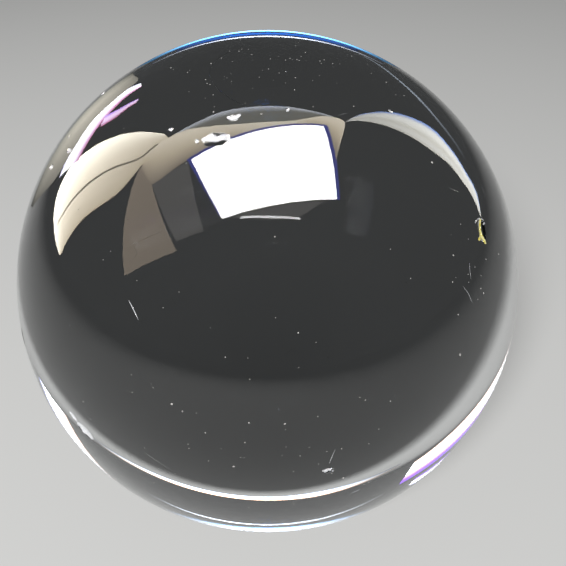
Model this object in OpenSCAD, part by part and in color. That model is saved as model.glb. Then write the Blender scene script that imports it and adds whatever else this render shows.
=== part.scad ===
// Crystal ball: one polished sphere of solid clear glass, made without a stand.
// The small chips that its surface has picked up in use are cut into it.
//
// The origin is the centre of the ball. +Z is up, and -Y is the side that faces the viewer.
// A place on the ball is given by two angles: the turn about Z from +X, and the rise above
// the ball's widest circle.

/* [Ball] */
// Diameter of the polished sphere
ball_d = 76; // [40:1:150]

/* [Long chips] */
// Cut the chips and pits, or leave a new, unmarked ball
chipped = true; // [true, false]
// Length of a long chip, along the surface
long_chip_length = 3; // [2:0.5:6]
// Width of a long chip at its middle
long_chip_width = 1.8; // [0.8:0.2:2]
// Depth of a long chip below its rim
long_chip_depth = 0.2; // [0.1:0.05:0.3]

/* [Flakes] */
// Length of a flake, along the surface
flake_length = 1.6; // [1:0.2:3]
// Width of a flake at its middle
flake_width = 0.8; // [0.4:0.2:1]
// Depth of a flake below its rim
flake_depth = 0.12; // [0.06:0.02:0.2]

/* [Pits] */
// Width of a round pit
pit_width = 0.6; // [0.4:0.1:1]
// Depth of a pit below its rim
pit_depth = 0.1; // [0.06:0.02:0.16]

/* [Hidden] */
$fn = 160;

ball_r = ball_d / 2;

// The end of a chip is this share of its width at the middle.
chip_taper = 0.6;
// Sides of the small spheres that cut the chips
cutter_sides = 48;

// Turn, rise and lean of each chip, in degrees. A lean of 0 runs it up and down the ball.
LONG_CHIPS = [[-34, 33, -34], [-108, 60, -73], [-128, -3, 61], [-155, 3, 15]];
FLAKES = [[-104, 65, -66], [-131, -1, 55], [-79, -1, 89],
          [174, 53, -63], [170, 47, -58], [-162, 45, -73], [-166, 39, -67]];
PITS = [[-126, 60], [-114, 59], [-81, 67], [-36, 61], [-171, 45]];

// Radius of the sphere that cuts a dish of this width and depth
function dish_radius(width, depth) = (pow(width / 2, 2) + pow(depth, 2)) / (2 * depth);

// Distance from the centre of the ball to the plane of a dish's rim
function rim_distance(width) = sqrt(pow(ball_r, 2) - pow(width / 2, 2));

// The angle that a length along the surface takes up
function arc_angle(length) = length / ball_r * 180 / PI;

// The hollow that one blow leaves in glass, cut into the ball's +X side
module dish(width, depth) {
    r = dish_radius(width, depth);
    translate([rim_distance(width) - depth + r, 0, 0])
        sphere(r = r, $fn = cutter_sides);
}

// A chip longer than it is wide: a run of dishes that narrows towards both ends
module chip(length, width, depth) {
    steps = ceil(length / width);
    reach = arc_angle(length - chip_taper * width) / 2;
    for (k = [-steps:steps]) {
        narrowing = 1 - (1 - chip_taper) * abs(k) / steps;
        rotate([0, reach * k / steps, 0])
            dish(width * narrowing, depth * narrowing);
    }
}

// Puts what is cut into the +X side at its place on the ball
module on_ball(turn, rise, lean = 0) {
    rotate([lean, -rise, turn])
        children();
}

module chips() {
    for (c = LONG_CHIPS)
        on_ball(c[0], c[1], c[2])
            chip(long_chip_length, long_chip_width, long_chip_depth);
    for (c = FLAKES)
        on_ball(c[0], c[1], c[2])
            chip(flake_length, flake_width, flake_depth);
    for (c = PITS)
        on_ball(c[0], c[1])
            dish(pit_width, pit_depth);
}

module ball() {
    color([0.9, 0.95, 0.96, 0.35])
        difference() {
            sphere(r = ball_r);
            if (chipped)
                chips();
        }
}

ball();
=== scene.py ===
"""A crystal ball: one polished sphere of solid clear glass, lying on a pale floor.

The glass is a fine mesh with the chips and pits of the CAD ball cut into it, each with its
own broken surface. Scratches, dust and lint lie on it as small meshes.

A place on the ball, and a direction out of it, is given by two angles in degrees: the turn
about Z from +X, so that -90 is the side that faces the camera, and the rise above the
ball's widest circle. Lengths on the ball are in millimetres.
"""
import math
import random

import bmesh
import bpy
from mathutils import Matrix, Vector, noise


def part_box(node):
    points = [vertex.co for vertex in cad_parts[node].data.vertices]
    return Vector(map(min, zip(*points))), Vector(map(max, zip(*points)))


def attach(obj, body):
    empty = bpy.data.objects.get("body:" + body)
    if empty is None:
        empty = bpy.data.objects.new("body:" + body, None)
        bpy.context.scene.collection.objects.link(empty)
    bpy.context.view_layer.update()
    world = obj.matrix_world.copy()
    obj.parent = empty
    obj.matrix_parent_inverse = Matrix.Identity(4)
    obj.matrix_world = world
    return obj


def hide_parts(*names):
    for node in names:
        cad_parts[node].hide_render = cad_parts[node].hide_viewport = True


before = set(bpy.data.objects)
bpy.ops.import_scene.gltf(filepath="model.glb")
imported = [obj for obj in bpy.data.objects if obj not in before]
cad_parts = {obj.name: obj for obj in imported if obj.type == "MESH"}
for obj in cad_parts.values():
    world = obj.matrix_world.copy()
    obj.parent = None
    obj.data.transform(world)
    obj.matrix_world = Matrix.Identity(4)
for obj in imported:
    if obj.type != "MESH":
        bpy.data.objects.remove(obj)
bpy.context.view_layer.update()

MM = 0.001
LOW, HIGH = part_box("ball")
CENTRE = (LOW + HIGH) / 2
RADIUS = min(HIGH - LOW) / 2
RADIUS_MM = RADIUS / MM

# Squares along each edge of the cube that the glass mesh starts from
BASE_SQUARES = 64
# Round a chip the mesh is halved once for each of these margins, in mm beyond the chip.
REFINE_MARGINS = (1.1, 0.7, 0.4, 0.15)
# How far a chip's outline strays from an oval, and a stroke's from its own, as shares of their size
OUTLINE_STRAY, STROKE_STRAY = 0.16, 0.22
# How closely each of these wanders from place to place, per mm
OUTLINE_WANDER, STROKE_WANDER, CRUSH_WANDER = 1.6, 5.0, 14.0
# Keeps the noise of one chip apart from the next one's
SEED_STEP = 7.3
# A stroke's finish starts this far inside it.
STROKE_EDGE = 0.05
# The ripples that a break leaves in glass: height and distance from crest to crest
RIPPLE_HEIGHT = 0.010
RIPPLE_PITCH = 0.30
# The ripples spread from a point this share of the chip's length from its middle.
RIPPLE_START = 0.4
# Extra depth of the crushed glass in the middle of a chip
CRUSH_DEPTH = 0.05

# Each chip: turn, rise, lean, length, width, depth, finish or painted glint, and the strokes of crushed
# glass in it. A stroke is two ends, each with its place across and along the chip and its half
# width, as shares of half the chip's length.
FORK = [((-0.04, 0.85, 0.14), (-0.14, 0.07, 0.20)),
        ((-0.14, 0.07, 0.20), (-0.08, -0.37, 0.27)),
        ((-0.08, -0.37, 0.25), (-0.62, -0.85, 0.12)),
        ((-0.08, -0.37, 0.25), (0.40, -1.10, 0.13))]
FORK_CRACKS = [((-0.95, 0.52, 0.05), (-0.62, 0.78, 0.06)),
               ((-0.48, 0.88, 0.05), (-0.10, 1.00, 0.06)),
               ((0.14, 1.00, 0.06), (0.46, 0.94, 0.04)),
               ((0.42, 0.60, 0.07), (0.62, 0.72, 0.05))]
OVAL = [((0.0, -0.55, 0.36), (0.0, 0.55, 0.36))]
CRESCENT = [((-0.33, -0.75, 0.22), (0.20, -0.30, 0.36)),
            ((0.20, -0.30, 0.36), (0.30, 0.20, 0.36)),
            ((0.30, 0.20, 0.36), (-0.25, 0.90, 0.26))]
SMEAR = [((-0.15, -0.96, 0.13), (-0.10, -0.40, 0.20)),
         ((-0.10, -0.40, 0.20), (0.00, 0.04, 0.22)),
         ((0.00, 0.04, 0.22), (-0.20, 0.50, 0.26)),
         ((-0.20, 0.50, 0.26), (-0.10, 0.88, 0.28)),
         ((0.00, 0.90, 0.20), (0.30, 1.05, 0.10))]
BROAD = [((-0.06, 0.75, 0.32), (-0.10, 0.10, 0.50)), ((-0.10, 0.10, 0.50), (-0.03, -0.65, 0.34))]
TWO_PIECES = [((0.1, -0.78, 0.10), (0.0, -0.1, 0.20)), ((-0.05, 0.3, 0.22), (0.04, 0.7, 0.14))]
BENT_PIECE = [((0.15, 0.80, 0.20), (-0.15, 0.45, 0.25)), ((-0.15, 0.45, 0.25), (0.10, -0.30, 0.20))]
DOT = [((0.0, -0.25, 0.62), (0.0, 0.25, 0.62))]

LONG, FLAKE, PIT = (3.0, 1.8, 0.2), (1.6, 0.8, 0.12), (0.6, 0.6, 0.1)
CHIPS = [
    # The largest chip's strokes carry a painted glint: yellow light in its broken glass, painted in as
    # solid yellow.
    (-34, 33, -34, LONG, "painted_glint", FORK),
    (-34, 33, -34, LONG, "crushed", FORK_CRACKS),
    (-108, 60, -73, LONG, "crushed", SMEAR),
    (-128, -3, 61, LONG, "crushed", BROAD),
    (-155, 3, 15, LONG, "crushed", TWO_PIECES),
    (-104, 65, -66, FLAKE, "crushed", CRESCENT),
    (-131, -1, 55, FLAKE, "crushed", BROAD),
    (-79, -1, 89, FLAKE, "crushed", BENT_PIECE),
    (174, 53, -63, FLAKE, "crushed", OVAL),
    (170, 47, -58, FLAKE, "crushed", OVAL),
    (-162, 45, -73, FLAKE, "crushed", OVAL),
    (-166, 39, -67, FLAKE, "crushed", OVAL),
]
PIT_PLACES = [(-126, 60), (-114, 59), (-81, 67), (-36, 61), (-171, 45)]
CHIPS += [(turn, rise, 0, PIT, "crushed", DOT) for turn, rise in PIT_PLACES]

# Scratches: places along each, and its half width in mm at its widest
SCRATCHES = [
    ([(-118, 29.4), (-116.6, 28.2), (-115, 26.6)], 0.065),
    ([(-79, 0.8), (-78.6, 2.4), (-78, 4.4)], 0.025),
    ([(-47, 27), (-46, 25.2), (-45.4, 23)], 0.03),
    ([(-43, 30), (-43.6, 28.6), (-44, 27.2)], 0.03),
]
SCRATCH_STEPS = 6
SCRATCH_HEIGHT = 0.004
# Hairlines and lint: lengths, and how far each bends at each of its points, in degrees
HAIRLINE_COUNT = 26
HAIRLINE_LENGTHS, HAIRLINE_BEND, HAIRLINE_POINTS = (1.0, 5.0), 2.5, 9
HAIRLINE_HALF_WIDTH, HAIRLINE_HEIGHT = 0.012, 0.002
LINT_COUNT = 12
LINT_LENGTHS, LINT_BEND, LINT_POINTS = (0.8, 2.2), 26, 12
LINT_HALF_WIDTH = 0.016
# A strand's ends are this share of its width at the middle.
STRAND_END = 0.15
# A strand starts no higher or lower than this share of the radius.
STRAND_START_RISE = 0.97
# Room that a strand needs on each side to be inside the CAD box, in mm
STRAND_ROOM = 0.1

# Dust: the places that it has gathered at, with how far it spreads, in degrees, the share of it
# that lies there, and the sizes of its grains with how much each is reduced at random
DUST_COUNT = 420
DUST_CLUSTERS = [(-91, 8, 13), (-84, 3, 9), (-70, 0, 10), (-110, 10, 9), (-90, 76, 9), (-40, 76, 8),
                 (-135, 80, 8), (-40, 26, 7), (60, 30, 16), (150, 20, 14)]
DUST_IN_CLUSTERS = 0.55
DUST_SIZES, DUST_SHRINK = (0.03, 0.10), (0.6, 1.0)
# A grain's shape: how much longer than wide, how flat, how lumpy and how close its lumps are
GRAIN_STRETCH, GRAIN_FLATNESS, GRAIN_LUMPS, GRAIN_WANDER = (0.7, 1.5), 0.5, 0.45, 1.7
# Single bright specks: turn, rise and size
BRIGHT_SPECKS = [(-38, 49, 0.16), (-51, 15, 0.15), (-47, 33, 0.10), (-145, 77, 0.12), (-41, 23, 0.10),
                 (-96, 1, 0.12), (-76, -4, 0.12), (-107, 13, 0.13), (-105, 12, 0.10), (-34, 78, 0.11)]

CAMERA_RISE = 36
CAMERA_DISTANCE = 3 * RADIUS
# The ball fills this share of the frame's width, and lies a little left of its middle.
BALL_IN_FRAME = 0.887
FRAME_SHIFT = (0.0274, -0.0031)


# ---------------------------------------------------------------- places and directions

def direction(turn, rise):
    """The unit vector for a turn and a rise in degrees."""
    t, r = math.radians(turn), math.radians(rise)
    return Vector((math.cos(t) * math.cos(r), math.sin(t) * math.cos(r), math.sin(r)))


def local_axes(out, lean):
    """Two axes on the surface at out: across and along, leaned by an angle in degrees."""
    east = Vector((0, 0, 1)).cross(out).normalized()
    north = out.cross(east)
    angle = math.radians(lean)
    along = north * math.cos(angle) - east * math.sin(angle)
    return along.cross(out), along


def inside_box(point, reach):
    """True where a piece that reaches this far from point stays inside the CAD box."""
    return all(abs(value) + reach < RADIUS for value in point - CENTRE)


def make_object(name, mesh, materials):
    """A new object of this mesh, shaded smooth."""
    for material in materials:
        mesh.materials.append(material)
    mesh.shade_smooth()
    piece = bpy.data.objects.new(name, mesh)
    bpy.context.collection.objects.link(piece)
    return piece


def mesh_from(bm, name):
    """Turn a bmesh into a mesh."""
    mesh = bpy.data.meshes.new(name)
    bm.to_mesh(mesh)
    bm.free()
    return mesh


# ---------------------------------------------------------------- materials

GLASS_IOR = 1.52
GLASS_TINT, TINT_DENSITY = (0.86, 0.94, 0.97, 1.0), 3.0
# Finger smudges: how fine they are, the noise that they start and end at, and their roughness
SMUDGE_SCALE, SMUDGE_START, SMUDGE_END, SMUDGE_ROUGHNESS = 70.0, 0.56, 0.72, 0.07
# Grains of crushed glass: how fine, the noise between deep and pale, roughness, and bump in mm
GRAIN_SCALE, GRAIN_DEEP, GRAIN_PALE, CRUSHED_ROUGHNESS, GRAIN_BUMP = 5200.0, 0.36, 0.58, 0.38, 0.03
# The noise between deep and pale on a dull surface
MOTTLE_DEEP, MOTTLE_PALE = 0.35, 0.65
# The pale and the deep shade of each finish, and how much of it is clear; the largest chip's yellow is no
# finish but a painted glint of yellow light
CRUSHED_SHADES, CRUSHED_CLEAR = ((0.97, 0.97, 0.98), (0.62, 0.64, 0.68)), 0.25
GLINT_PAINT_SHADES, GLINT_PAINT_CLEAR = ((1.0, 0.96, 0.50), (0.92, 0.74, 0.05)), 0.0
SCRATCHED_SHADES, SCRATCHED_CLEAR = ((0.90, 0.91, 0.93), (0.55, 0.57, 0.60)), 0.3
# The pale and the deep shade of dust and lint, how fine their mottling is, and their roughness
DUST_SHADES, DUST_MOTTLE, DUST_ROUGHNESS = ((0.62, 0.61, 0.58), (0.30, 0.29, 0.28)), 900.0, 0.85
LINT_SHADES, LINT_MOTTLE, LINT_ROUGHNESS = ((0.80, 0.82, 0.88), (0.55, 0.57, 0.62)), 700.0, 0.9


def principled(name):
    """A new node material and its Principled shader."""
    material = bpy.data.materials.new(name)
    material.use_nodes = True
    return material, material.node_tree.nodes["Principled BSDF"]


def noise_node(tree, scale, detail=3.0):
    """A noise texture in the object's own coordinates."""
    place = tree.nodes.new("ShaderNodeTexCoord")
    texture = tree.nodes.new("ShaderNodeTexNoise")
    texture.inputs["Scale"].default_value = scale
    texture.inputs["Detail"].default_value = detail
    tree.links.new(place.outputs["Object"], texture.inputs["Vector"])
    return texture


def ramp_node(tree, source, stops):
    """A colour ramp over a texture's strength, from stops of place and colour."""
    ramp = tree.nodes.new("ShaderNodeValToRGB")
    elements = ramp.color_ramp.elements
    while len(elements) < len(stops):
        elements.new(0.5)
    for element, (place, colour) in zip(elements, stops):
        element.position = place
        element.color = (*colour, 1.0)
    tree.links.new(source.outputs["Fac"], ramp.inputs["Fac"])
    return ramp


def grey(value):
    """A colour with the same value in each channel."""
    return (value, value, value)


def glass_material():
    """Solid polished clear glass, dulled in patches where fingers have been."""
    material, shader = principled("clear_glass")
    tree = material.node_tree
    shader.inputs["Base Color"].default_value = (1.0, 1.0, 1.0, 1.0)
    shader.inputs["Transmission Weight"].default_value = 1.0
    shader.inputs["IOR"].default_value = GLASS_IOR
    smudges = noise_node(tree, SMUDGE_SCALE, 4.0)
    stops = [(SMUDGE_START, grey(0.0)), (SMUDGE_END, grey(SMUDGE_ROUGHNESS))]
    ramp = ramp_node(tree, smudges, stops)
    tree.links.new(ramp.outputs["Color"], shader.inputs["Roughness"])
    tint = tree.nodes.new("ShaderNodeVolumeAbsorption")
    tint.inputs["Color"].default_value = GLASS_TINT
    tint.inputs["Density"].default_value = TINT_DENSITY
    tree.links.new(tint.outputs["Volume"], tree.nodes["Material Output"].inputs["Volume"])
    return material


def broken_glass_material(name, pale, deep, clear_share):
    """Crushed glass in a chip: bright grains with small clear facets between them. Given the yellow
    shades, it paints a glint of yellow light into the largest chip.
    """
    material, shader = principled(name)
    tree = material.node_tree
    shader.inputs["Transmission Weight"].default_value = clear_share
    shader.inputs["IOR"].default_value = GLASS_IOR
    shader.inputs["Roughness"].default_value = CRUSHED_ROUGHNESS
    grains = noise_node(tree, GRAIN_SCALE, 2.0)
    ramp = ramp_node(tree, grains, [(GRAIN_DEEP, deep), (GRAIN_PALE, pale)])
    tree.links.new(ramp.outputs["Color"], shader.inputs["Base Color"])
    bump = tree.nodes.new("ShaderNodeBump")
    bump.inputs["Strength"].default_value = 0.5
    bump.inputs["Distance"].default_value = GRAIN_BUMP * MM
    tree.links.new(grains.outputs["Fac"], bump.inputs["Height"])
    tree.links.new(bump.outputs["Normal"], shader.inputs["Normal"])
    return material


def matt_material(name, pale, deep, scale, roughness):
    """A dull surface whose colour varies between two shades."""
    material, shader = principled(name)
    tree = material.node_tree
    shader.inputs["Roughness"].default_value = roughness
    shader.inputs["Specular IOR Level"].default_value = 0.2
    mottle = noise_node(tree, scale, 2.0)
    ramp = ramp_node(tree, mottle, [(MOTTLE_DEEP, deep), (MOTTLE_PALE, pale)])
    tree.links.new(ramp.outputs["Color"], shader.inputs["Base Color"])
    return material


# ---------------------------------------------------------------- the glass ball

def wander(point, scale, seed):
    """Smooth noise from -1 to 1 at a point in mm."""
    return noise.noise(Vector((point[0] * scale, point[1] * scale, seed)))


def on_stroke(across, along, stroke):
    """How far inside a stroke a place is: 1 on its middle line, 0 or less outside it."""
    (x0, y0, w0), (x1, y1, w1) = stroke
    dx, dy = x1 - x0, y1 - y0
    share = ((across - x0) * dx + (along - y0) * dy) / (dx * dx + dy * dy)
    share = min(1.0, max(0.0, share))
    gap = math.hypot(across - x0 - share * dx, along - y0 - share * dy)
    return 1.0 - gap / (w0 + share * (w1 - w0))


class Chip:
    """One chip: its place, its outline and the shape of its broken surface."""

    def __init__(self, seed, turn, rise, lean, size, finish, strokes):
        self.seed = seed * SEED_STEP
        self.out = direction(turn, rise)
        self.across, self.along = local_axes(self.out, lean)
        self.length, self.width, self.depth = size
        self.finish = finish
        self.strokes = strokes

    def reaches(self, point, margin):
        """True where point, on the unit sphere, is within margin mm of the chip."""
        reach = (self.length / 2 * (1 + OUTLINE_STRAY) + margin) / RADIUS_MM
        return point.dot(self.out) > math.cos(reach)

    def place(self, point):
        """The place of a point of the unit sphere, across and along the chip in mm."""
        scale = RADIUS_MM / point.dot(self.out)
        return point.dot(self.across) * scale, point.dot(self.along) * scale

    def oval(self, place):
        """0 at the middle of the chip and 1 on its stray outline."""
        stray = 1 + OUTLINE_STRAY * wander(place, OUTLINE_WANDER, self.seed)
        return math.hypot(place[0] * 2 / self.width, place[1] * 2 / self.length) / stray

    def crush(self, place):
        """How deep in a stroke of crushed glass a place is, or 0 outside them."""
        half = self.length / 2
        ragged = STROKE_STRAY * wander(place, STROKE_WANDER, self.seed + 3)
        best = max(on_stroke(place[0] / half, place[1] / half, stroke) for stroke in self.strokes)
        return max(0.0, best + ragged)

    def depth_at(self, point):
        """Depth of the chip below the polished surface, in mm."""
        place = self.place(point)
        oval = self.oval(place)
        if oval >= 1:
            return 0.0
        bowl = 1 - oval * oval
        from_blow = math.hypot(place[0], place[1] - RIPPLE_START * self.length)
        ripple = RIPPLE_HEIGHT * math.sin(2 * math.pi * from_blow / RIPPLE_PITCH)
        rough = 1 + wander(place, CRUSH_WANDER, self.seed)
        crushed = CRUSH_DEPTH * min(1.0, self.crush(place)) * rough
        return max(0.0, self.depth * bowl + ripple * bowl + crushed * bowl)


def cube_sphere():
    """A unit sphere of even squares."""
    bm = bmesh.new()
    bmesh.ops.create_cube(bm, size=2.0)
    bmesh.ops.subdivide_edges(bm, edges=bm.edges[:], cuts=BASE_SQUARES - 1, use_grid_fill=True)
    for vertex in bm.verts:
        vertex.co = Vector([math.tan(value * math.pi / 4) for value in vertex.co]).normalized()
    return bm


def refine_round(bm, chips):
    """Halve the squares round each chip, once for each margin."""
    for margin in REFINE_MARGINS:
        edges = set()
        for face in bm.faces:
            middle = face.calc_center_median().normalized()
            if any(chip.reaches(middle, margin) for chip in chips):
                edges.update(face.edges)
        bmesh.ops.subdivide_edges(bm, edges=list(edges), cuts=1, use_grid_fill=True)
        for vertex in bm.verts:
            vertex.co.normalize()


def set_finish(bm, chips, slots):
    """Give the faces in each stroke of crushed glass that chip's finish, and the largest chip's strokes
    its painted yellow glint.
    """
    for face in bm.faces:
        middle = face.calc_center_median().normalized()
        for chip in chips:
            if chip.reaches(middle, 0) and chip.crush(chip.place(middle)) > STROKE_EDGE:
                face.material_index = slots[chip.finish]


def glass_ball():
    """The ball: an exact sphere with every chip cut into it."""
    chips = [Chip(seed, *chip) for seed, chip in enumerate(CHIPS)]
    bm = cube_sphere()
    refine_round(bm, chips)
    # Slot 2 is the painted yellow glint of the largest chip.
    set_finish(bm, chips, {"crushed": 1, "painted_glint": 2})
    normals = []
    for vertex in bm.verts:
        out = vertex.co.normalized()
        depth = max((chip.depth_at(out) for chip in chips if chip.reaches(out, 0)), default=0.0)
        normals.append(Vector((0, 0, 0)) if depth > 0 else out)
        vertex.co = CENTRE + out * (RADIUS - depth * MM)
    mesh = mesh_from(bm, "glass_ball")
    materials = [
        glass_material(),
        broken_glass_material("crushed_glass", *CRUSHED_SHADES, CRUSHED_CLEAR),
        # The painted yellow glint: solid yellow standing in for light glinting in the largest chip
        broken_glass_material("painted_glint_chip", *GLINT_PAINT_SHADES, GLINT_PAINT_CLEAR),
    ]
    ball = make_object("glass_ball", mesh, materials)
    mesh.normals_split_custom_set_from_vertices(normals)
    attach(ball, "root")
    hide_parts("ball")


# ---------------------------------------------------------------- scratches, dust and lint

def sweep(bm, path, half_widths, height, sides=6):
    """A closed strand along points of the surface: flat where its height is small."""
    rings = []
    for index, point in enumerate(path):
        out = (point - CENTRE).normalized()
        ahead = path[min(index + 1, len(path) - 1)] - path[max(index - 1, 0)]
        side = ahead.cross(out).normalized()
        ring = []
        for corner in range(sides):
            angle = 2 * math.pi * corner / sides
            offset = side * math.cos(angle) * half_widths[index] + out * math.sin(angle) * height
            ring.append(bm.verts.new(point + offset))
        rings.append(ring)
    for first, second in zip(rings, rings[1:]):
        for corner in range(sides):
            after = (corner + 1) % sides
            bm.faces.new((first[corner], first[after], second[after], second[corner]))
    bm.faces.new(rings[0][::-1])
    bm.faces.new(rings[-1])


def surface_point(out, lift_mm=0.0):
    """The point of the polished surface in a direction, lifted by a little."""
    return CENTRE + out * (RADIUS + lift_mm * MM)


def spline(points, steps):
    """Unit vectors along a smooth curve through unit vectors, with steps between each two."""
    padded = [points[0], *points, points[-1]]
    curve = []
    for index in range(len(points) - 1):
        a, b, c, d = padded[index:index + 4]
        for step in range(steps):
            t = step / steps
            smooth = (2 * b + (c - a) * t + (2 * a - 5 * b + 4 * c - d) * t ** 2
                      + (3 * b - a - 3 * c + d) * t ** 3) / 2
            curve.append(smooth.normalized())
    return [*curve, points[-1]]


def strand(bm, outs, half_width_mm, height_mm):
    """A strand on the surface through these directions, fine at both ends."""
    last = len(outs) - 1
    swell = [STRAND_END + (1 - STRAND_END) * math.sin(math.pi * i / last) for i in range(last + 1)]
    widths = [half_width_mm * MM * share for share in swell]
    sweep(bm, [surface_point(out) for out in outs], widths, height_mm * MM)


def random_direction(rng, highest):
    """A direction that is as likely anywhere on the ball, up to a share of the radius high or low."""
    return direction(rng.uniform(-180, 180), math.degrees(math.asin(rng.uniform(-highest, highest))))


def random_path(rng, length_mm, bend, points):
    """Directions along a strand that starts anywhere and bends at random as it goes."""
    out = random_direction(rng, STRAND_START_RISE)
    heading = rng.uniform(0, 360)
    outs = [out]
    for _ in range(points - 1):
        _, along = local_axes(out, heading)
        out = (out + along * (length_mm / RADIUS_MM / (points - 1))).normalized()
        heading += rng.uniform(-bend, bend)
        outs.append(out)
    return outs


def strand_fits(outs):
    """True where a strand through these directions stays inside the CAD box."""
    return all(inside_box(surface_point(out), STRAND_ROOM * MM) for out in outs)


def scratches():
    """The scratches seen on the ball, and hairlines all over it."""
    bm = bmesh.new()
    for places, half_width in SCRATCHES:
        outs = spline([direction(*place) for place in places], SCRATCH_STEPS)
        strand(bm, outs, half_width, SCRATCH_HEIGHT)
    rng = random.Random(11)
    for _ in range(HAIRLINE_COUNT):
        outs = random_path(rng, rng.uniform(*HAIRLINE_LENGTHS), HAIRLINE_BEND, HAIRLINE_POINTS)
        if strand_fits(outs):
            strand(bm, outs, HAIRLINE_HALF_WIDTH, HAIRLINE_HEIGHT)
    material = broken_glass_material("scratched_glass", *SCRATCHED_SHADES, SCRATCHED_CLEAR)
    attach(make_object("scratches", mesh_from(bm, "scratches"), [material]), "root")


def speck(bm, rng, out, size_mm):
    """One grain of dust: a lump with its own shape, flatter than it is wide."""
    across, along = local_axes(out, rng.uniform(0, 360))
    stretch = rng.uniform(*GRAIN_STRETCH)
    grain = bmesh.ops.create_icosphere(bm, subdivisions=2, radius=1.0)
    seed = rng.uniform(0, 100)
    for vertex in grain["verts"]:
        lump = 1 + GRAIN_LUMPS * noise.noise(vertex.co * GRAIN_WANDER + Vector((seed, 0, 0)))
        x, y, z = vertex.co * lump * size_mm
        offset = across * x * stretch + along * y + out * z * GRAIN_FLATNESS
        vertex.co = surface_point(out) + offset * MM


def dust_place(rng):
    """A random direction, more often near one of the places where dust has gathered."""
    if rng.random() < DUST_IN_CLUSTERS:
        turn, rise, spread = rng.choice(DUST_CLUSTERS)
        across, along = local_axes(direction(turn, rise), 0)
        scatter = math.radians(spread)
        offset = across * rng.gauss(0, scatter) + along * rng.gauss(0, scatter)
        return (direction(turn, rise) + offset).normalized()
    return random_direction(rng, 1)


def dust():
    """Grains of dust all over the ball."""
    rng = random.Random(5)
    bm = bmesh.new()
    for _ in range(DUST_COUNT):
        out = dust_place(rng)
        size = rng.uniform(*DUST_SIZES) * rng.uniform(*DUST_SHRINK)
        if inside_box(surface_point(out), 2 * size * MM):
            speck(bm, rng, out, size)
    for turn, rise, size in BRIGHT_SPECKS:
        speck(bm, rng, direction(turn, rise), size)
    material = matt_material("dust", *DUST_SHADES, DUST_MOTTLE, DUST_ROUGHNESS)
    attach(make_object("dust", mesh_from(bm, "dust"), [material]), "root")


def lint():
    """Short curled fibres."""
    rng = random.Random(23)
    bm = bmesh.new()
    for _ in range(LINT_COUNT):
        outs = random_path(rng, rng.uniform(*LINT_LENGTHS), LINT_BEND, LINT_POINTS)
        if strand_fits(outs):
            strand(bm, outs, LINT_HALF_WIDTH, LINT_HALF_WIDTH)
    material = matt_material("lint", *LINT_SHADES, LINT_MOTTLE, LINT_ROUGHNESS)
    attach(make_object("lint", mesh_from(bm, "lint"), [material]), "root")


# ---------------------------------------------------------------- stage: floor, lights, camera

FLOOR_RADIUS = 3.0
FLOOR_SIDES = 96
FLOOR_COLOUR = (0.80, 0.80, 0.785, 1.0)
ROOM_GLOW = 0.06
ROOM_COLOUR = (0.96, 0.98, 1.0, 1.0)
KEY_PLACE = (-108, 38)
KEY_DISTANCE = 1.2
KEY_RADIUS = 0.22
KEY_WATTS = 70.0
# The lamp's cone, in degrees: it lights a pool on the floor that fades towards its edge.
KEY_CONE = 52

# Light cards round the ball. Each is a strip between two edges, given as directions out of
# the ball, with its distance in metres and its colours from the first edge to the second.
# An edge of two places is straight, and any other is a smooth curve.
# Cards 7.8 to 9 m away look the same from any point of the ball, as a room's walls do. The nearest,
# 0.13 to 0.16 m away, show what lies close behind the ball. Where two cards lie in one direction the
# nearer one shows, so a line on a wall is nearer than the wall, and the window's edge is further away
# than the window.
# Steps between two places of a curved edge, and rows from the one edge to the other
CURVE_STEPS, CURVE_ROWS = 16, 12
WHITE, SILL = (30, 30, 30), (14, 14, 14)
CREAM, PALE_CREAM, BRIGHT_CREAM = (7.0, 6.0, 4.4), (10.0, 9.0, 7.2), (15.0, 14.2, 12.0)
TAN, OLIVE, DIM, JOINT = (2.6, 2.1, 1.6), (1.6, 1.55, 1.3), (0.9, 0.85, 0.8), (1.6, 1.4, 1.1)
OLIVE_EDGE, STRIP, STRIP_SHADE = (6.0, 6.4, 7.2), (6.6, 6.6, 6.2), (5.4, 5.3, 4.7)
BAND, BAND_SHADE, FAINT = (1.7, 1.6, 1.35), (0.6, 0.6, 0.52), (1.0, 1.15, 1.35)
BRIGHT, COOL, WARM = (9.0, 9.2, 9.6), (2.2, 3.0, 4.2), (4.5, 2.4, 1.2)
BLUE, VIOLET, MAGENTA = (0.8, 1.8, 5.0), (2.4, 1.2, 5.6), (3.0, 0.7, 1.5)
BENT_BLUE, BENT_VIOLET, BENT_PINK = (0.15, 0.3, 2.2), (0.7, 0.22, 2.4), (2.2, 1.1, 3.0)
BENT_WARM, GLOW_BLUE, CYAN = (1.3, 0.5, 0.15), (0.02, 0.22, 0.95), (0.5, 2.0, 4.2)
LILAC, PINK, NAVY = (3.6, 3.5, 5.2), (6.4, 4.7, 6.8), (0.3, 0.4, 3.2)
RIM, RIM_BLUE, DEEP_BLUE = (12.0, 13.5, 16.0), (0.3, 2.0, 8.0), (0.02, 0.5, 2.6)
RIM_PALE = (2.2, 6.5, 11.0)

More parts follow.
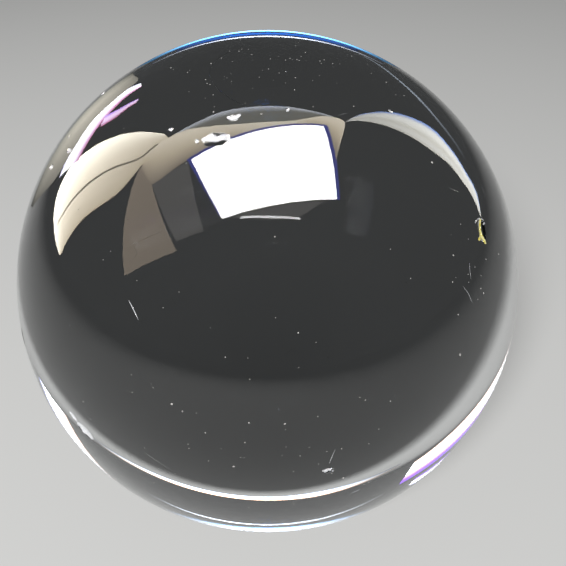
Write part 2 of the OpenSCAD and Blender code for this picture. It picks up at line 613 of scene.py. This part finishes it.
# Cards that the ball's surface mirrors
MIRRORED = {
    "window": (8.0, [WHITE, WHITE], [(174, 62), (41, 64.5)], [(-125, 57.5), (-30, 58.5)]),
    "window_edge": (8.3, [NAVY, NAVY], [(173, 60.5), (41, 63)], [(-128, 58), (-28.5, 57.5)]),
    "ceiling_far": (9.0, [OLIVE_EDGE, OLIVE, OLIVE, OLIVE, OLIVE, OLIVE],
                    [(160, 46), (148, 54), (137, 59), (125, 62), (96, 66), (66, 64), (48, 59), (40, 56)],
                    [(165, 55), (152, 66), (137, 74), (112, 80), (80, 80), (60, 74), (50, 66), (42, 60)]),
    "ceiling_near": (8.5, [PALE_CREAM, CREAM, TAN],
                     [(157, 45), (147, 56), (140, 64), (118, 73), (65, 72), (49, 61), (40, 56), (25, 62)],
                     [(168, 42), (180, 46), (173, 62), (117, 83), (70, 80), (45, 70), (15, 66), (-8, 65)]),
    "left_wall": (8.6, [BRIGHT_CREAM, PALE_CREAM, CREAM],
                  [(168, 0), (151, 1), (143, 6), (142, 16), (144, 33), (149, 49)],
                  [(168.5, 1), (169, 14), (172.5, 29), (170, 38), (161, 45.5), (152, 51)]),
    "wall_joint": (8.2, [JOINT, JOINT],
                   [(158, 2), (157, 15), (158, 28), (160, 37), (160, 42), (155, 47)],
                   [(158.5, 2), (158, 15), (159, 28), (161, 37), (161, 42.5), (155.5, 48)]),
    "tan_wall": (8.4, [TAN, TAN], [(166, 42), (203, 18)], [(181, 46), (220, 38)]),
    "dim_panel": (8.8, [DIM, DIM], [(180, 46), (217, 41)], [(175, 61), (228, 50)]),
    "sill": (8.2, [SILL, SILL], [(-112, 61), (-64, 60)], [(-112, 60), (-64, 59)]),
    "below_window": (8.4, [DIM, DIM],
                     [(-125, 59), (-83, 67), (-38, 61)], [(-113, 60), (-88, 61), (-64, 60)]),
    "right_strip": (8.6, [BLUE, STRIP, STRIP, STRIP_SHADE, STRIP, STRIP_SHADE],
                    [(40, 56), (44, 48), (46, 33), (45, 18), (41, 12), (36, 7), (33, 3), (27, 1)],
                    [(40, 56), (40, 50), (37, 38), (33, 24), (32, 16), (30, 10), (29, 6), (26, 1)]),
    "left_streak": (8.0, [MAGENTA, PINK, BRIGHT, BRIGHT, BRIGHT, LILAC],
                    [(120, 18), (123, 16), (127, 15), (131, 14), (135, 13), (139, 12), (143, 11)],
                    [(118, 15), (120, 7), (123, 4), (127, 3), (132, 3), (137, 2), (141, 1)]),
    "left_streak_second": (7.8, [VIOLET, PINK, PINK, MAGENTA],
                           [(126, 24), (128, 20), (129, 16), (129, 13)],
                           [(128, 25), (130, 23), (133, 20), (134, 15)]),
    "left_band": (0.15, [BAND, BAND, BAND_SHADE],
                  [(118, 14), (123, 23), (130, 21), (136, 17), (144, 14), (149, 7), (142, -8)],
                  [(114, 7), (116, 6), (119, 4), (124, 0), (128, -3), (132, -7), (138, -11)]),
    "right_thin": (8.8, [FAINT, FAINT],
                   [(75, 4), (71, 5.5), (66, 8), (60, 9), (54, 9), (50, 8), (42, 4)],
                   [(75, 5), (71, 6.5), (66, 9), (60, 10.5), (54, 10.5), (49, 9.5), (41, 5)]),
    "top_line": (8.0, [BLUE, BRIGHT, COOL],
                 [(108, 1), (98, 4.5), (90, 6), (82, 4.5), (72, 1)],
                 [(108, 2.5), (98, 6.5), (90, 8), (82, 6.5), (72, 2.5)]),
    "top_blue": (0.15, [DEEP_BLUE, GLOW_BLUE],
                 [(106, 10), (98, 12), (90, 13), (82, 12), (74, 10)],
                 [(108, 15), (99, 17), (90, 18), (81, 17), (72, 15)]),
    "top_rim": (0.13, [DEEP_BLUE, RIM_PALE, DEEP_BLUE],
                [(112, 3), (90, 2), (68, 3)], [(112, 12), (90, 11), (68, 12)]),
}
# Cards that show only as lines and streaks, bent through the glass to its edge
BENT = {
    "low_left_door": (0.80, [BENT_BLUE, BRIGHT, BRIGHT, BRIGHT, BENT_WARM],
                      [(37, -1.5), (37, 26)], [(50, -1.5), (52, 26)]),
    "low_right_door": (0.80, [BENT_VIOLET, BENT_VIOLET, BENT_PINK, BRIGHT, BRIGHT, BRIGHT, BENT_WARM],
                       [(115, 8.5), (125, 9.5), (140, 12), (160, 15)],
                       [(115, -1), (125, -2), (140, -2), (160, -1.5)]),
    "low_right_second": (0.80, [BENT_BLUE, BRIGHT, BRIGHT, BENT_VIOLET, BENT_VIOLET],
                         [(121, 17), (126, 21), (134, 22)],
                         [(121, 12.5), (127, 13.5), (134, 15)]),
    "horizon": (0.16, [COOL, BRIGHT, WARM],
                [(65, -11.5), (75, -13), (91, -13.5), (98, -13.5), (106, -13)],
                [(65, -11), (75, -12), (91, -12), (98, -12), (106, -12.5)]),
    "thin_line": (0.88, [COOL, BRIGHT],
                  [(67, 11), (76, 14.5), (90, 16), (102, 14.5), (112, 10)],
                  [(67, 11.5), (76, 15.5), (90, 17), (102, 15.5), (112, 10.5)]),
    "outer_line": (0.88, [CYAN, RIM, RIM, CYAN, RIM_BLUE],
                   [(64, 25), (78, 22), (92, 21), (104, 22), (116, 25)],
                   [(64, 46), (78, 56), (92, 60), (104, 56), (116, 46)]),
}
# Cards whose light fades towards both of their ends, with how sharply, and what is left there
FADING = {"left_band": 1, "right_thin": 1, "top_line": 2, "top_blue": 1, "top_rim": 3,
          "horizon": 3, "thin_line": 2, "outer_line": 2}
END_GLOW = 0.045


def card_material():
    """A surface that glows with the colour stored on its mesh."""
    material = bpy.data.materials.new("card_light")
    material.use_nodes = True
    tree = material.node_tree
    tree.nodes.clear()
    glow = tree.nodes.new("ShaderNodeEmission")
    colour = tree.nodes.new("ShaderNodeAttribute")
    colour.attribute_name = "glow"
    result = tree.nodes.new("ShaderNodeOutputMaterial")
    tree.links.new(colour.outputs["Color"], glow.inputs["Color"])
    tree.links.new(glow.outputs["Emission"], result.inputs["Surface"])
    material.cycles.emission_sampling = "NONE"
    return material


def colour_between(colours, share):
    """The colour at a share of the way through a list of colours."""
    place = share * (len(colours) - 1)
    first = min(int(place), len(colours) - 2)
    return Vector(colours[first]).lerp(Vector(colours[first + 1]), place - first)


def light_card(name, distance, colours, first_edge, second_edge, material):
    """A strip of light between two edges that are given as directions out of the ball."""
    curved = len(first_edge) > 2
    steps = CURVE_STEPS if curved else 1
    first = spline([direction(*place) for place in first_edge], steps)
    second = spline([direction(*place) for place in second_edge], steps)
    rows = CURVE_ROWS if curved else len(colours) - 1
    bm = bmesh.new()
    glow = bm.verts.layers.float_color.new("glow")
    columns = []
    for place, (a, b) in enumerate(zip(first, second)):
        strength = 1.0
        if name in FADING:
            middle = math.sin(math.pi * place / (len(first) - 1))
            strength = END_GLOW + (1 - END_GLOW) * middle ** FADING[name]
        column = []
        for row in range(rows + 1):
            share = row / rows
            toward = a.lerp(b, share)
            if curved:
                toward.normalize()
            vertex = bm.verts.new(CENTRE + toward * distance)
            vertex[glow] = (*(colour_between(colours, share) * strength), 1.0)
            column.append(vertex)
        columns.append(column)
    for left, right in zip(columns, columns[1:]):
        for row in range(rows):
            bm.faces.new((left[row], right[row], right[row + 1], left[row + 1]))
    card = make_object("card_" + name, mesh_from(bm, name), [material])
    card.visible_camera = False
    card.visible_diffuse = False
    card.visible_shadow = False
    return card


def light_cards():
    """The cards that the ball mirrors, and those that it bends into lines at its edge."""
    material = card_material()
    for name, (distance, colours, first, second) in MIRRORED.items():
        light_card(name, distance, colours, first, second, material).visible_transmission = False
    for name, (distance, colours, first, second) in BENT.items():
        light_card(name, distance, colours, first, second, material).visible_glossy = False


def floor():
    """The plain pale floor that the ball lies on."""
    bm = bmesh.new()
    bmesh.ops.create_circle(bm, cap_ends=True, segments=FLOOR_SIDES, radius=FLOOR_RADIUS)
    material, shader = principled("pale_floor")
    shader.inputs["Base Color"].default_value = FLOOR_COLOUR
    shader.inputs["Roughness"].default_value = 1.0
    shader.inputs["Specular IOR Level"].default_value = 0.0
    piece = make_object("floor", mesh_from(bm, "floor"), [material])
    piece.location = (CENTRE.x, CENTRE.y, LOW.z)


def key_light():
    """One soft lamp on the camera's side, which the glass doesn't show."""
    lamp = bpy.data.lights.new("key", "SPOT")
    lamp.energy = KEY_WATTS
    lamp.shadow_soft_size = KEY_RADIUS
    lamp.spot_size = math.radians(KEY_CONE)
    lamp.spot_blend = 1.0
    piece = bpy.data.objects.new("key", lamp)
    toward = direction(*KEY_PLACE)
    piece.location = CENTRE + toward * KEY_DISTANCE
    piece.rotation_euler = toward.to_track_quat("Z", "Y").to_euler()
    piece.visible_glossy = False
    piece.visible_transmission = False
    bpy.context.collection.objects.link(piece)


def room():
    """A dim even glow from all round."""
    world = bpy.data.worlds.new("room")
    world.use_nodes = True
    background = world.node_tree.nodes["Background"]
    background.inputs["Color"].default_value = ROOM_COLOUR
    background.inputs["Strength"].default_value = ROOM_GLOW
    bpy.context.scene.world = world


def camera():
    """The camera, three radii from the middle of the ball and looking down at it."""
    data = bpy.data.cameras.new("camera")
    half_ball = math.tan(math.asin(RADIUS / CAMERA_DISTANCE))
    data.angle = 2 * math.atan(half_ball / BALL_IN_FRAME)
    data.shift_x, data.shift_y = FRAME_SHIFT
    data.clip_start = MM
    piece = bpy.data.objects.new("camera", data)
    toward = direction(-90, CAMERA_RISE)
    piece.location = CENTRE + toward * CAMERA_DISTANCE
    piece.rotation_euler = toward.to_track_quat("Z", "Y").to_euler()
    bpy.context.collection.objects.link(piece)
    bpy.context.scene.camera = piece


def picture_settings():
    """Plain colours, and no light through the glass on to the floor."""
    scene = bpy.context.scene
    scene.view_settings.view_transform = "Standard"
    scene.cycles.caustics_refractive = False
    scene.cycles.caustics_reflective = False


glass_ball()
scratches()
dust()
lint()
floor()
light_cards()
key_light()
room()
camera()
picture_settings()
